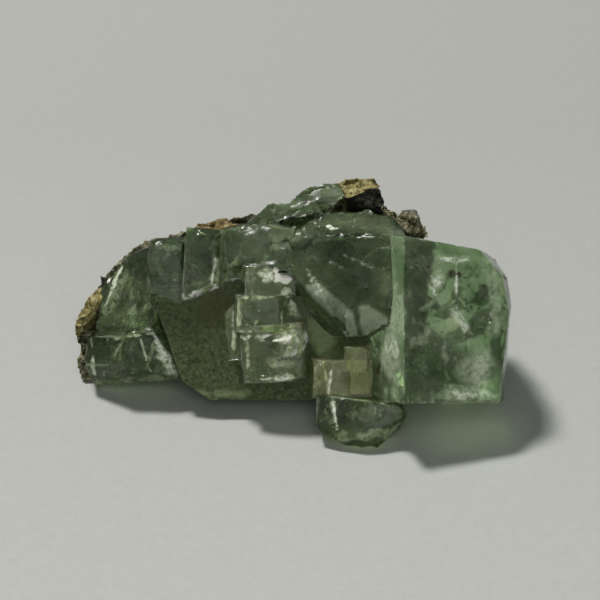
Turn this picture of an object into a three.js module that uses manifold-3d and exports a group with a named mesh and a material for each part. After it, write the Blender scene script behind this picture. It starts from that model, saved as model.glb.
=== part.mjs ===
// Fluorite specimen: green fluorite crystals grown together on a plate of broken host rock.
// It stands on its broken base and leans back, so that its crystal side faces forward and up.
//
// Millimetres. Every piece is laid out in the crystal side's own frame: x to the right, y away from
// the viewer into the rock, z up along the crystal side, with its origin in the middle of the dull
// crystal's face. The whole frame then leans back by LEAN, and stands on the ground plane z = 0.

import * as THREE from "three";
import { ConvexGeometry } from "three/addons/geometries/ConvexGeometry.js";
import { mergeVertices } from "three/addons/utils/BufferGeometryUtils.js";
import Module from "manifold-3d";

const wasm = await Module();
wasm.setup();

// Driving dimensions
const LEAN = 35; // degrees that the crystal side leans back from upright
const FOOT = { y: -4.5, z: -21.4 }; // the lowest point, under the foot crystal
const JOIN = 0.05; // gap kept where two crystals meet

// The large block
const BLOCK_EDGE = { x: 14.6, y: -11.5, z: -14.7 }; // lower end of the large block's front edge
const BLOCK_SIZE = [21, 17, 26];
const BLOCK_YAW = 14; // how far the front face turns away to the right
const BLOCK_SIDE_YAW = 24; // the same for the left face, which is cleaved a little askew
const BLOCK_SIDE_TRIM = 4; // what that cleavage takes off the block's left end

const radians = THREE.MathUtils.degToRad;

// Geometry helpers

// A closed three.js geometry as a solid that can be joined and cut.
function solidFrom(geometry) {
  const bare = new THREE.BufferGeometry().setAttribute("position", geometry.getAttribute("position"));
  if (geometry.index) bare.setIndex(geometry.index);
  const merged = mergeVertices(bare, 1e-4);
  return new wasm.Manifold(
    new wasm.Mesh({
      numProp: 3,
      vertProperties: merged.attributes.position.array,
      triVerts: new Uint32Array(merged.index.array),
    }),
  );
}

// Takes off what lies beyond a plane through point, on the side its normal faces.
function cut(solid, normal, point, grow = 0) {
  const n = new THREE.Vector3(...normal).normalize();
  const reach = n.dot(new THREE.Vector3(...point)) + grow;
  return solid.trimByPlane([-n.x, -n.y, -n.z], -reach);
}

// A cleavage block. corner is its front lower left corner, and turn its yaw, pitch and roll in
// degrees about that corner. Each cleave is [normal, point] of a face broken or grown across it.
function block({ corner, size, turn = [0, 0, 0], cleaves = [] }) {
  return (grow) => {
    const [width, depth, height] = size;
    const geometry = new THREE.BoxGeometry(width + 2 * grow, depth + 2 * grow, height + 2 * grow);
    const [yaw, pitch, roll] = turn.map(radians);
    geometry.translate(width / 2, depth / 2, height / 2);
    const turned = new THREE.Euler(pitch, roll, yaw, "ZXY");
    geometry.applyMatrix4(new THREE.Matrix4().makeRotationFromEuler(turned));
    geometry.translate(...corner);
    return cleaves.reduce((solid, [normal, point]) => cut(solid, normal, point, grow), solidFrom(geometry));
  };
}

// A broken lump: the smallest convex solid around its corner points.
function lump(points) {
  return (grow) => {
    const corners = points.map((p) => new THREE.Vector3(...p));
    const middle = corners.reduce((sum, p) => sum.add(p), new THREE.Vector3()).divideScalar(corners.length);
    const pushed = corners.map((p) => {
      const out = p.clone().sub(middle);
      return p.clone().addScaledVector(out.normalize(), grow * Math.SQRT2);
    });
    return solidFrom(new ConvexGeometry(pushed));
  };
}

// Several shapes grown together as one.
function joined(...shapes) {
  return (grow) => shapes.map((shape) => shape(grow)).reduce((all, next) => all.add(next));
}

// The crystals, each named with its shape. A piece listed earlier keeps its whole form, and those
// after it grow up against it.

const frontDirection = [Math.cos(radians(BLOCK_YAW)), Math.sin(radians(BLOCK_YAW))];
const largeBlock = block({
  corner: [
    BLOCK_EDGE.x - BLOCK_SIDE_TRIM * frontDirection[0],
    BLOCK_EDGE.y - BLOCK_SIDE_TRIM * frontDirection[1],
    BLOCK_EDGE.z,
  ],
  size: BLOCK_SIZE,
  turn: [BLOCK_YAW, 0, 0],
  cleaves: [
    [
      [-Math.cos(radians(BLOCK_SIDE_YAW)), -Math.sin(radians(BLOCK_SIDE_YAW)), 0],
      [BLOCK_EDGE.x, BLOCK_EDGE.y, 0],
    ],
    [[0.16, 0.06, 1], [15.6, -10, 8.9]],
    [[0.76, -0.16, 0.62], [27.3, -8.3, 5.3]],
    [[0.95, -0.24, 0.2], [29.3, -7.8, 1.4]],
    [[0.98, -0.18, -0.1], [29.7, -7.7, -3.6]],
    [[0.7, -0.3, -0.68], [28.5, -8, -14.6]],
  ],
});

const dullCrystal = block({
  corner: [-21, 0, -14.7],
  size: [35, 13, 19.3],
  turn: [0, 5, 0],
  cleaves: [
    [[-0.3, 0, 0.95], [-17, 0, 1.9]],
    [[-0.57, -0.06, -0.82], [-15.2, 0, -13.3]],
    [[-0.94, -0.1, -0.33], [-18.9, 0, -7.3]],
  ],
});

const leftCrystal = lump([
  [-26.2, 0.2, -5.2], [-26.4, 0.2, -9.6],
  [-31.5, 3.8, -5.4], [-31.9, 4.0, -9.6],
  [-21.9, 0.2, -3.9], [-22.5, 0.0, -9.0], [-20.0, 0.2, -10.4],
  [-20.7, -0.4, -5.6], [-17.9, 0.9, -9.6], [-17.6, 1.0, -11.4],
  [-30.6, 6.0, -12.8], [-26, 4.4, -12.6], [-21.9, 3.6, -12.1], [-18.2, 2.8, -11.8],
  [-30.4, 10, -4.4], [-31.2, 10.6, -11], [-18, 10.6, -11], [-20, 10, -4],
]);

const shoulderCrystal = lump([
  [-25.5, 3.4, 6.8], [-21.7, 1.6, 9.0], [-21.6, -1.8, 1.4], [-20.6, -1.8, -0.8], [-21.6, -1.0, -4.6],
  [-26.3, -0.2, -5.6], [-30.4, 2.4, -5.6], [-29.3, 3.6, 1.5], [-27.8, 4.0, 4.2],
  [-26, 8, 6.0], [-20, 9, 8.4], [-30, 8, -3], [-20, 9, -3],
]);

const stepCrystal = block({
  corner: [-21.7, -2.7, -0.6],
  size: [4.6, 9, 9.9],
  turn: [3, -4, 0],
  cleaves: [
    [[-0.3, -0.5, -0.8], [-18.5, -2, -0.4]],
    [[-0.3, -0.5, 0.8], [-19.8, -2, 8.6]],
  ],
});

const deepStepCrystal = block({
  corner: [-17.2, -2.5, -0.2],
  size: [6, 9, 11],
  turn: [-5, -4, 3],
  cleaves: [
    [[0.3, -0.5, -0.8], [-15, -2, 0.8]],
    [[0.2, -0.6, 0.8], [-14, -2, 9.8]],
    [[0.8, -0.6, 0.1], [-11.7, -2, 6]],
  ],
});

const footCrystal = lump([
  [2.3, -4.6, -13.6], [2.3, -5.2, -18.2], [3.2, -5.2, -19.2], [5.3, -5.6, -20.4], [9.0, -6.6, -19.8],
  [11.7, -6.6, -18.8], [13.9, -6.4, -18.1], [15.5, -6.0, -17.1], [14.4, -6.2, -15.3], [10, -6.4, -14.4],
  [7.4, FOOT.y, FOOT.z], [11.2, FOOT.y, FOOT.z],
  [3, 5, -12], [15, 6, -12], [4, 4, -20], [14, 5, -20],
]);

const massiveBody = lump([
  [15.8, -8.4, 9.0], [14.6, -8.9, 0.2], [14.0, -8.0, -3.0], [11.8, -6.9, -3.2], [9.1, -5.2, -5.5],
  [8.0, -5.9, -4.0], [2.8, -5.4, 0.3], [0.2, -4.8, 2.0], [-1.5, -4.6, 4.5], [-2.6, -4.4, 7.8],
  [7.3, -7.1, 3.4], [1.0, -4.8, 9.6], [8.6, -6.6, 10.0],
  [4.0, 1.4, 13.4], [10.0, 1.4, 13.4], [13.4, -1.6, 12.0],
  [6.6, -3.4, -5.5], [1.3, -2.2, -1.3], [4.6, -2.6, -4.4],
  [-3, 10, 12], [14, 12, 12], [-3, 9, -4], [14, 9, -5],
]);

const middleBody = lump([
  [-11.5, -1.6, 10.3], [-6.4, -1.8, 11.4], [-0.5, -3.2, 10.6], [-11.4, -2.6, 2.4], [-7.7, -2.8, 2.7],
  [-0.8, -4.0, 4.2], [-1.6, -4.4, 2.6], [-2.2, -4.0, 7.2], [-11.6, -2.0, 7.5],
  [-12, 11, 11], [0, 11, 12], [-12, 11, 2], [0, 11, 2],
]);

const backBody = lump([
  [-27, 6, 4], [-22, 6, 8.4], [-10, 6, 10.6], [2, 6, 13.6], [13, 6, 11.6], [16, 8, 8],
  [-31, 6, -8], [-29, 6, -13], [14, 6, -14],
  [-27, 12, 3], [-20, 12, 8], [-8, 12, 10], [2, 12, 13], [12, 12, 11], [15, 12, 6],
  [-30, 12, -8], [-28, 12, -13], [14, 12, -14],
]);

const lowPlate = lump([
  [-9.0, 0.6, 11.0], [-6.3, 0.2, 12.2], [-4.8, 0.4, 14.2], [-2.4, 0.4, 14.7], [2.6, 0.2, 14.9],
  [0.0, -0.4, 13.4], [-3.5, -0.6, 11.4], [3.5, 0.0, 12.6],
  [-8, 8, 10.5], [-4, 8, 13.6], [3, 8, 15.2],
]);

const highPlate = lump([
  [-2.2, 1.4, 14.4], [-0.2, 1.4, 16.2], [2.3, 1.6, 17.1], [3.0, 1.4, 17.6],
  [4.3, 1.6, 17.8], [5.8, 1.4, 16.8],
  [2.8, 0.4, 14.9], [6.6, 0.6, 15.4], [5.2, 0.4, 13.6],
  [0, 8, 15.6], [4, 8, 17.4], [7, 8, 15.6], [2, 8, 12],
]);

const massiveFluorite = joined(backBody, massiveBody, middleBody, lowPlate, highPlate);

// Small cubes on the dull face

const cubeTop = block({
  corner: [-7.9, -4.6, 0.4],
  size: [7.4, 6, 4.6],
  turn: [4, -5, -2],
  cleaves: [[[0.5, -0.3, 0.8], [-3.6, -4, 5.0]]],
});

const cubeUpper = block({
  corner: [-9.3, -5.0, -4.6],
  size: [10.8, 8, 5.4],
  turn: [6, 3, 2],
  cleaves: [
    [[-0.7, -0.3, 0.6], [-8.9, -5, 0.2]],
    [[0.55, -0.84, 0], [-2.8, -4.4, -2]],
  ],
});

const cubeLeft = block({
  corner: [-10.4, -2.6, -8.9],
  size: [2.6, 4, 8.2],
  turn: [-12, 0, -6],
  cleaves: [[[-0.6, -0.2, 0.75], [-10.3, -2.5, -1.4]]],
});

const cubeLower = block({
  corner: [-8.3, -4.2, -12.2],
  size: [9.0, 7, 8.4],
  turn: [-6, 4, -3],
  cleaves: [
    [[0.5, -0.2, -0.85], [-1.4, -4, -12.1]],
    [[-0.3, -0.85, -0.4], [-6.6, -4.6, -11.2]],
  ],
});

const cubeShell = lump([
  [-5.2, -5.0, -5.6], [-0.4, -5.2, -3.3], [1.1, -4.6, -4.1], [1.6, -4.2, -5.8], [1.1, -4.4, -6.9],
  [-0.4, -5.0, -8.3], [-2.2, -5.6, -8.7], [-4.2, -5.4, -7.5], [-1.6, -6.6, -6.2],
  [-4, 0.5, -5], [0, 0.5, -3.6], [1.2, 0.5, -6], [-1, 0.5, -8],
]);

// Small yellowish cubes beside the large block

const honeyCube = block({
  corner: [1.9, -5.4, -14.2],
  size: [8.6, 7, 5.6],
  turn: [5, 2, 1],
  cleaves: [
    [[-0.6, -0.3, 0.75], [2.3, -5.4, -9.4]],
    [[-0.1, -0.8, -0.6], [6, -5.3, -13.4]],
  ],
});

const honeyCubeSmall = block({
  corner: [6.2, -6.2, -10.3],
  size: [3.5, 6, 3.6],
  turn: [-4, 3, 0],
  cleaves: [[[0.6, -0.2, 0.8], [9.4, -6, -7.1]]],
});

const honeyCubeSide = block({
  corner: [7.2, -6.0, -13.6],
  size: [3.0, 6, 6.0],
  turn: [14, 0, 0],
});

// Host rock

const hostRock = joined(
  lump([
    [-34.1, 8, -6.4], [-33.7, 7.5, -2.6], [-31.8, 8, 0.8],
    [-29.8, 8, 3.6], [-28.0, 8, 5.7], [-26.0, 8, 7.5],
    [-23.4, 8, 9.2], [-18, 8.4, 10.3], [-34.0, 8, -10], [-32.4, 8, -13.2],
    [-24, 14, 6], [-30, 16, -4], [-27, 17, -12], [-16, 17, -12], [-18, 17, 4], [-20, 9, -14],
  ]),
  lump([
    [-21, 8.4, 9.7], [-15, 8.4, 11.4], [-10, 8.4, 12.2], [-4, 9, 12.6], [2, 9, 16], [8, 9, 16.6],
    [-20, 17, 4], [-8, 20, 6], [4, 20, 10], [8, 17, 14],
    [-22, 9, -14], [-16, 19, -12], [6, 20, -12], [8, 9, -14],
  ]),
  lump([
    [2, 8, 15.6], [11.6, 7, 14.6], [17.6, 8, 11.6], [18.6, 9, 9.4], [19.4, 12, 5.4],
    [6, 17, 13], [13, 18, 8], [16, 17, 2],
    [4, 9, -14], [8, 19, -12], [15, 17, -9], [17, 13, -12],
  ]),
);

const tanCap = lump([
  [5.0, 2.2, 17.0], [6.6, 2.4, 18.2], [8.6, 2.6, 18.4], [11.2, 3.0, 18.2], [12.0, 3.4, 17.0],
  [9.2, 1.2, 15.8], [7.2, 1.2, 15.0], [5.9, 1.4, 15.0], [11.0, 2.0, 16.2],
  [6.4, 4.6, 17.3], [8.8, 5.4, 17.5], [11.2, 5.0, 17.0],
  [6.2, 7, 15.6], [9, 8, 15.4], [11.6, 7.4, 15.0],
]);

const darkCap = lump([
  [6.6, 1.8, 15.9], [9.0, 1.2, 16.2], [12.0, 2.0, 16.6], [12.7, 2.4, 15.3], [12.4, 1.8, 13.8],
  [10.6, 1.0, 13.4], [8.8, 0.9, 14.2], [6.7, 1.4, 14.6],
  [7, 8, 14.6], [10, 9, 14.8], [12.8, 7.4, 14.4], [7, 9, 12.5], [13.2, 9, 12.5],
]);

const sugaryRock = lump([
  [11.8, 1.0, 13.8], [13.8, 0.8, 12.9], [17.4, 1.6, 12.6], [18.4, 2.4, 11.2], [18.8, 2.4, 9.4],
  [16.4, 0.2, 9.4], [14.5, -1.2, 10.0], [13.4, -1.0, 11.3],
  [13.4, 6.4, 12.8], [17.0, 6.6, 11.8], [15.2, 9, 11.0], [18.8, 9, 9.0], [13, 8, 9.5],
]);

const clearShard = lump([
  [14.9, 1.4, 12.2], [15.0, 1.8, 13.2], [17.2, 2.0, 13.3], [17.5, 1.6, 12.0], [16.4, 1.6, 11.2],
  [15.4, 4.2, 11.6], [17.2, 4.6, 11.6], [16.4, 3.2, 13.5],
]);

const rustCrust = lump([
  [-15.6, 0.8, 10.0], [-15.2, 1.2, 11.5], [-12.8, 1.4, 11.4], [-11.4, 1.6, 12.1], [-10.7, 1.6, 12.4],
  [-9.4, 1.4, 11.4], [-9.0, 0.9, 10.6], [-12.4, 0.3, 9.9],
  [-13.8, 4.6, 10.8], [-11.2, 5.0, 11.3], [-9.8, 4.2, 10.8],
  [-14.4, 5.4, 9.4], [-12, 6.4, 9.6], [-9.6, 5.6, 9.4],
]);

const tanCrust = lump([
  [-33.3, 3.8, -2.8], [-31.4, 3.8, 0.8], [-29.9, 4.0, 1.9], [-28.7, 3.8, 1.8], [-29.5, 2.6, -0.6],
  [-30.3, 2.2, -1.9], [-32.2, 2.8, -4.0], [-33.2, 5.0, -5.6],
  [-33.0, 9, -2.4], [-29, 9, 2.2], [-31, 9, -4],
]);

const darkGrain = lump([
  [-29.6, 4.2, 3.6], [-28.0, 4.2, 3.2], [-29.2, 3.6, 1.0], [-28.2, 3.2, 2.2], [-29, 6.6, 2.4],
]);

// Pieces in the order in which they keep their form
const PIECES = [
  ["large_block_crystal", largeBlock, "sea_green"],
  ["dull_crystal", dullCrystal, "dull_green"],
  ["left_crystal", leftCrystal, "deep_green"],
  ["step_crystal", stepCrystal, "deep_green"],
  ["deep_step_crystal", deepStepCrystal, "deep_green"],
  ["shoulder_crystal", shoulderCrystal, "deep_green"],
  ["foot_crystal", footCrystal, "deep_green"],
  ["honey_cube", honeyCube, "honey_green"],
  ["honey_cube_small", honeyCubeSmall, "honey_green"],
  ["honey_cube_side", honeyCubeSide, "honey_green"],
  ["cube_shell", cubeShell, "pale_green"],
  ["cube_upper", cubeUpper, "pale_green"],
  ["cube_lower", cubeLower, "pale_green"],
  ["cube_left", cubeLeft, "pale_green"],
  ["cube_top", cubeTop, "pale_green"],
  ["massive_fluorite", massiveFluorite, "deep_green"],
  ["tan_cap", tanCap, "tan_rock"],
  ["dark_cap", darkCap, "dark_rock"],
  ["clear_shard", clearShard, "clear_chip"],
  ["sugary_rock", sugaryRock, "olive_rock"],
  ["rust_crust", rustCrust, "rust_rock"],
  ["dark_grain", darkGrain, "dark_rock"],
  ["tan_crust", tanCrust, "tan_rock"],
  ["host_rock", hostRock, "olive_rock"],
];

const MATERIALS = {
  sea_green: { color: 0x6f9275, roughness: 0.15, metalness: 0 },
  dull_green: { color: 0x4a4f3a, roughness: 0.6, metalness: 0 },
  deep_green: { color: 0x4a6a4a, roughness: 0.2, metalness: 0 },
  pale_green: { color: 0x93a682, roughness: 0.2, metalness: 0 },
  clear_chip: { color: 0xc8cdc4, roughness: 0.1, metalness: 0 },
  honey_green: { color: 0x8a8a5a, roughness: 0.25, metalness: 0 },
  olive_rock: { color: 0x6b6750, roughness: 0.95, metalness: 0 },
  dark_rock: { color: 0x39352f, roughness: 0.95, metalness: 0 },
  tan_rock: { color: 0xa99562, roughness: 0.95, metalness: 0 },
  rust_rock: { color: 0x8a5a2c, roughness: 0.95, metalness: 0 },
};

// The ground in the crystal side's frame
const lean = radians(LEAN);
const groundDown = [0, Math.sin(lean), -Math.cos(lean)];

// The largest of the separate solids that cutting has left.
function largest(solid) {
  return solid.decompose().reduce((a, b) => (b.volume() > a.volume() ? b : a));
}

function geometryOf(solid) {
  const mesh = solid.getMesh();
  return new THREE.BufferGeometry()
    .setAttribute("position", new THREE.BufferAttribute(mesh.vertProperties, 3))
    .setIndex(new THREE.BufferAttribute(mesh.triVerts, 1))
    .toNonIndexed();
}

const specimen = new THREE.Group();
const placed = [];
for (const [name, shape, look] of PIECES) {
  let solid = placed.reduce((left, other) => left.subtract(other), shape(0));
  solid = cut(solid, groundDown, [0, FOOT.y, FOOT.z]);
  placed.push(shape(JOIN));
  const mesh = new THREE.Mesh(geometryOf(largest(solid)), new THREE.MeshStandardMaterial(MATERIALS[look]));
  mesh.geometry.computeVertexNormals();
  mesh.name = name;
  specimen.add(mesh);
}
specimen.rotation.x = -lean;

// The specimen stands on z = 0 with the middle of its outline over the origin.
const whole = new THREE.Group().add(specimen);
whole.updateMatrixWorld(true);
const box = new THREE.Box3().setFromObject(whole, true);
specimen.position.set(-(box.min.x + box.max.x) / 2, -(box.min.y + box.max.y) / 2, -box.min.z);

export default whole;
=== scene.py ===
# Looks of the fluorite specimen. Metres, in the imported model's own frame.
#
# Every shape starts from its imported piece. The piece is remeshed finely, and its surface is then
# chipped, stepped, cleaved or made granular, so that its detail is real geometry.

import math

import bmesh
import bpy
import numpy as np
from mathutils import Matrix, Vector
from mathutils.bvhtree import BVHTree
from mathutils.kdtree import KDTree


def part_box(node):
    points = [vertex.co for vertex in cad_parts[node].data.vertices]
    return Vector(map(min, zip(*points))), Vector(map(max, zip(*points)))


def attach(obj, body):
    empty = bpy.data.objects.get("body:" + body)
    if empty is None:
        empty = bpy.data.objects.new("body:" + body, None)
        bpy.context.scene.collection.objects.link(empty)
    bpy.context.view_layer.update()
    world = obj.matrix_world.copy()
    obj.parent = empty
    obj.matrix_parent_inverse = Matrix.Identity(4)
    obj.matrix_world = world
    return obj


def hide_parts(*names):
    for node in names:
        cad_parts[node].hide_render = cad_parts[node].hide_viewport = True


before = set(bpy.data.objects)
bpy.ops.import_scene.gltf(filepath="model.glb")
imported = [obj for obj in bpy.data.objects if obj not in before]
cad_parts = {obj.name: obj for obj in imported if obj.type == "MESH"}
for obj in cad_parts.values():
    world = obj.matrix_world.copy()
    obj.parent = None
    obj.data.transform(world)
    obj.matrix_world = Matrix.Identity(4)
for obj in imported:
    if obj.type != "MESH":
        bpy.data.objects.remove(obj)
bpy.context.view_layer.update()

MM = 0.001
LEAN = math.radians(35)  # how far the crystal side leans back
FACE_ORIGIN = Vector((1.81, -2.13, 14.95)) * MM  # middle of the dull crystal's face
CAMERA_DISTANCE = 330 * MM
VIEW_WIDTH = 87.7 * MM  # what the view spans at the crystal side
SENSOR_WIDTH = 36
FLUORITE_IOR = 1.434
GLOW_DEPTH = 2 * MM  # how far light spreads inside cloudy fluorite

# Carving, in millimetres
FAR = 9.0  # more than any distance that matters on a surface
CONTACT = 0.12  # nearer than this to another piece, a surface is left uncarved
CONTACT_REACH = 0.6  # from this far on, it is carved fully
BOX_MARGIN = 0.01  # how far inside its packed box a carved piece stays
SHARP_ANGLE = math.radians(32)  # steeper edges are shaded as edges

# Cleavage cracks inside the crystals, in millimetres
CRACK_SPOKES = 30
CRACK_RINGS = 6
CRACK_MARGIN = 0.8  # how deep below the surface a crack's middle lies at least
CRACK_RIM_MARGIN = 0.35  # the same for its rim

# The tiny cracks that make up the wispy veils inside the crystals, in millimetres
TINY_CRACK = 0.42
TINY_GAP = 0.035
TINY_SPOKES = 7
TINY_MARGIN = 0.25  # how deep below the surface a tiny crack lies at least
WISP_MARGIN = 0.6  # the same for a wisp's middle
WISP_DENSITY = 9  # tiny cracks per square millimetre of a wisp's radius
TRIES_PER_CRACK = 12  # how many random places are tried for each crack or wisp

# Marks on the crystal side
RAGGEDNESS = 1.5  # how far their outlines stray, as a part of their size
FACET_EDGE = 0.25  # how wide a facet's soft edge is, in millimetres

# Light and floor, in metres. The key light is behind the specimen, a little to its left and high up.
KEY_DIRECTION = Vector((-0.34, 0.33, 1))
KEY_DISTANCE = 1.2
KEY_COLOUR = (1.0, 0.99, 0.96)
FILL_DIRECTION = Vector((0.1, -1, 0.8))
FILL_COLOUR = (0.98, 1.0, 0.97)
LIGHT_BOUNCES = 24
FLOOR_SIZE = 4


# Noise on points, in millimetres


def random_of(cells, seed):
    """A fixed random number from 0 to 1 for each whole-numbered cell."""
    x, y, z = cells.astype(np.int64).T
    h = (x * 73856093) ^ (y * 19349663) ^ (z * 83492791) ^ (seed * 2654435761)
    h &= 0xFFFFFFFF
    h = ((h ^ (h >> 13)) * 1274126177) & 0xFFFFFFFF
    return ((h ^ (h >> 16)) & 0xFFFFFFFF) / 2**32


def smooth_noise(points, size, seed):
    """Smooth noise from 0 to 1 whose lumps are about size across."""
    p = points / size
    base = np.floor(p)
    t = p - base
    t = t * t * (3 - 2 * t)
    total = np.zeros(len(points))
    for corner in np.ndindex(2, 2, 2):
        c = np.array(corner)
        weight = np.prod(np.where(c == 1, t, 1 - t), axis=1)
        total += weight * random_of(base + c, seed)
    return total


def fractal(points, size, seed, octaves=4):
    """Noise from 0 to 1 with finer noise added on top of coarse."""
    total, weight = np.zeros(len(points)), 0
    for k in range(octaves):
        total += smooth_noise(points, size / 2**k, seed + k) / 2**k
        weight += 1 / 2**k
    return total / weight


def grain_distance(points, size, seed):
    """How far each point is from the nearest of scattered grain centres, in grain sizes."""
    p = points / size
    nearest = np.full(len(p), FAR)
    for shift in np.ndindex(3, 3, 3):
        cell = np.floor(p) + np.array(shift) - 1
        centre = cell + np.stack([random_of(cell, seed + k) for k in range(3)], axis=1)
        nearest = np.minimum(nearest, np.linalg.norm(p - centre, axis=1))
    return nearest


def terraces(points, axes, size, seed):
    """Level steps with straight edges along the crystal's axes, from 0 to 1."""
    along = points @ axes.T
    bend = smooth_noise(np.floor(along / size), 3.0, seed + 5)
    return random_of(np.floor(along / size + bend[:, None] * 0.6 + seed * 0.37), seed)


def cleavage(points, size, tilt, seed):
    """Flat tilted facets with sharp steps between them, as on broken fluorite."""
    low, high = points.min(0) - size, points.max(0) + size
    rng = np.random.default_rng(seed)
    count = max(6, int(np.prod(high - low) / size**3))
    seeds = rng.uniform(low, high, (count, 3))
    slopes = rng.normal(0, tilt, (count, 3))
    steps = rng.uniform(0, 1, count)
    tree = KDTree(count)
    for i, s in enumerate(seeds):
        tree.insert(s, i)
    tree.balance()
    wobble = 0.25 * size * (fractal(points, size * 0.4, seed + 9, 2) - 0.5)
    near = np.array([tree.find(p)[1] for p in points + wobble[:, None]])
    return np.einsum("ij,ij->i", points - seeds[near], slopes[near]) + steps[near] * size * 0.05


# Meshes


def merged(node):
    """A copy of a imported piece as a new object, with its split corners joined."""
    piece = bpy.data.objects.new(node + "_stone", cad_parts[node].data.copy())
    bpy.context.scene.collection.objects.link(piece)
    work = bmesh.new()
    work.from_mesh(piece.data)
    bmesh.ops.remove_doubles(work, verts=work.verts, dist=1e-6)
    work.to_mesh(piece.data)
    work.free()
    piece.data.materials.clear()
    return piece


def sharp_edge_points(mesh, angle=math.radians(22), spacing=0.25):
    """Points along the mesh's sharp edges, in millimetres."""
    work = bmesh.new()
    work.from_mesh(mesh)
    points = []
    for edge in work.edges:
        if len(edge.link_faces) != 2 or edge.calc_face_angle(0) < angle:
            continue
        a, b = (np.array(v.co) / MM for v in edge.verts)
        steps = max(2, int(np.linalg.norm(b - a) / spacing))
        points += [a + (b - a) * k / steps for k in range(steps + 1)]
    work.free()
    return points


def crystal_axes(mesh):
    """Three square axes that follow the mesh's largest faces."""
    normals = np.array([p.normal for p in mesh.polygons])
    areas = np.array([p.area for p in mesh.polygons])
    first = normals[np.argmax(areas)]
    square = np.abs(normals @ first) < 0.3
    second = normals[square][np.argmax(areas[square])] if square.any() else np.array([0, 0, 1.0])
    second = second - first * (second @ first)
    second /= np.linalg.norm(second)
    return np.array([first, second, np.cross(first, second)])


def remesh(piece, cell):
    """Replaces the piece's mesh by fine even faces about cell millimetres across."""
    longest = max(piece.dimensions) / MM
    depth = math.ceil(math.log2(longest / cell / 0.99))
    modifier = piece.modifiers.new("fine", "REMESH")
    modifier.mode = "SHARP"
    modifier.octree_depth = depth
    modifier.scale = longest / (cell * 2**depth)
    modifier.use_remove_disconnected = True
    depsgraph = bpy.context.evaluated_depsgraph_get()
    fine = bpy.data.meshes.new_from_object(piece.evaluated_get(depsgraph))
    piece.modifiers.clear()
    piece.data = fine


def vertices_of(mesh):
    """The mesh's points in millimetres, and its normals."""
    points = np.empty(len(mesh.vertices) * 3, np.float32)
    normals = np.empty(len(mesh.vertices) * 3, np.float32)
    mesh.vertices.foreach_get("co", points)
    mesh.vertices.foreach_get("normal", normals)
    return points.reshape(-1, 3).astype(float) / MM, normals.reshape(-1, 3).astype(float)


def face_frame(points):
    """Points in millimetres in the crystal side's frame: right, away, up along the side."""
    p = points - np.array(FACE_ORIGIN) / MM
    up = p[:, 2] * math.cos(LEAN) + p[:, 1] * math.sin(LEAN)
    away = p[:, 1] * math.cos(LEAN) - p[:, 2] * math.sin(LEAN)
    return np.stack([p[:, 0], away, up], axis=1)


def on_crystal_side(normals):
    """1 for surfaces that face the way the crystal side does, 0 for those that face away."""
    facing = normals[:, 2] * math.sin(LEAN) - normals[:, 1] * math.cos(LEAN)
    return np.clip(2 * facing + 0.2, 0, 1)


def marks(points, normals, spots, crispness, seed):
    """How strongly ragged marks cover each point of the crystal side, from 0 to 1."""
    flat = face_frame(points)
    cover = np.zeros(len(points))
    for number, (right, up, width, height, turn, strength) in enumerate(spots):
        angle = math.radians(turn)
        x, z = flat[:, 0] - right, flat[:, 2] - up
        u = (x * math.cos(angle) + z * math.sin(angle)) * 2 / width
        v = (z * math.cos(angle) - x * math.sin(angle)) * 2 / height
        lumps = fractal(points, max(1.0, min(width, height)), seed + number, 5)
        ragged = RAGGEDNESS * crispness * (lumps - 0.5)
        spot = np.clip(crispness * (1.0 - np.hypot(u, v) + ragged), 0, 1)
        cover = np.maximum(cover, strength * spot)
    return cover * on_crystal_side(normals)


def facet_cover(points, normals, polygons):
    """1 inside straight-sided facets of the crystal side, 0 outside them."""
    flat = face_frame(points)
    cover = np.zeros(len(points))
    for corners in polygons:
        inside = np.full(len(points), FAR)
        for (x0, z0), (x1, z1) in zip(corners, corners[1:] + corners[:1]):
            along = math.hypot(x1 - x0, z1 - z0)
            beside = (z1 - z0) * (flat[:, 0] - x0) - (x1 - x0) * (flat[:, 2] - z0)
            inside = np.minimum(inside, beside / along)
        cover = np.maximum(cover, np.clip(inside / FACET_EDGE, 0, 1))
    return cover * on_crystal_side(normals)


def nearest_distances(points, targets):
    """How far each point is from the nearest target, in millimetres."""
    tree = KDTree(len(targets))
    for i, target in enumerate(targets):
        tree.insert(target, i)
    tree.balance()
    return np.array([tree.find(point)[2] for point in points])


def ragged_outline(rng, spokes):
    """Radii from 0 to 1 round a polygon with a few straight, uneven sides."""
    at = np.arange(spokes) * 2 * math.pi / spokes
    sides = np.arange(rng.integers(4, 7))
    facing = (sides + rng.uniform(-0.3, 0.3, len(sides))) * 2 * math.pi / len(sides)
    reach = rng.uniform(0.45, 0.9, len(sides))
    ahead = np.cos(at[:, None] - facing)
    lines = np.where(ahead > 0.1, reach / np.maximum(ahead, 0.1), FAR)
    return np.clip(lines.min(axis=1) * rng.uniform(0.93, 1.0, spokes), 0.3, 1.2)


def is_inside(solid, point, margin):
    """True if a point is inside a closed surface, at least margin metres below it."""
    if solid.find_nearest(point)[3] < margin:
        return False
    ray, crossings, start = Vector((0.31, 0.17, 0.93)).normalized(), 0, point
    while (hit := solid.ray_cast(start, ray))[0] is not None:
        crossings += 1
        start = hit[0] + ray * 0.001 * MM
    return crossings % 2 == 1


def crack_points(centre, normal, radius, seed):
    """Points of a flat ragged crack in millimetres: its middle, then ring by ring outward."""
    outline = ragged_outline(np.random.default_rng(seed), CRACK_SPOKES)
    side = normal.orthogonal().normalized()
    across = normal.cross(side)
    points = [centre.copy()]
    for ring in range(1, CRACK_RINGS + 1):
        for spoke in range(CRACK_SPOKES):
            angle = 2 * math.pi * spoke / CRACK_SPOKES
            reach = radius * outline[spoke] * ring / CRACK_RINGS
            points.append(centre + (side * math.cos(angle) + across * math.sin(angle)) * reach)
    return points


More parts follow.
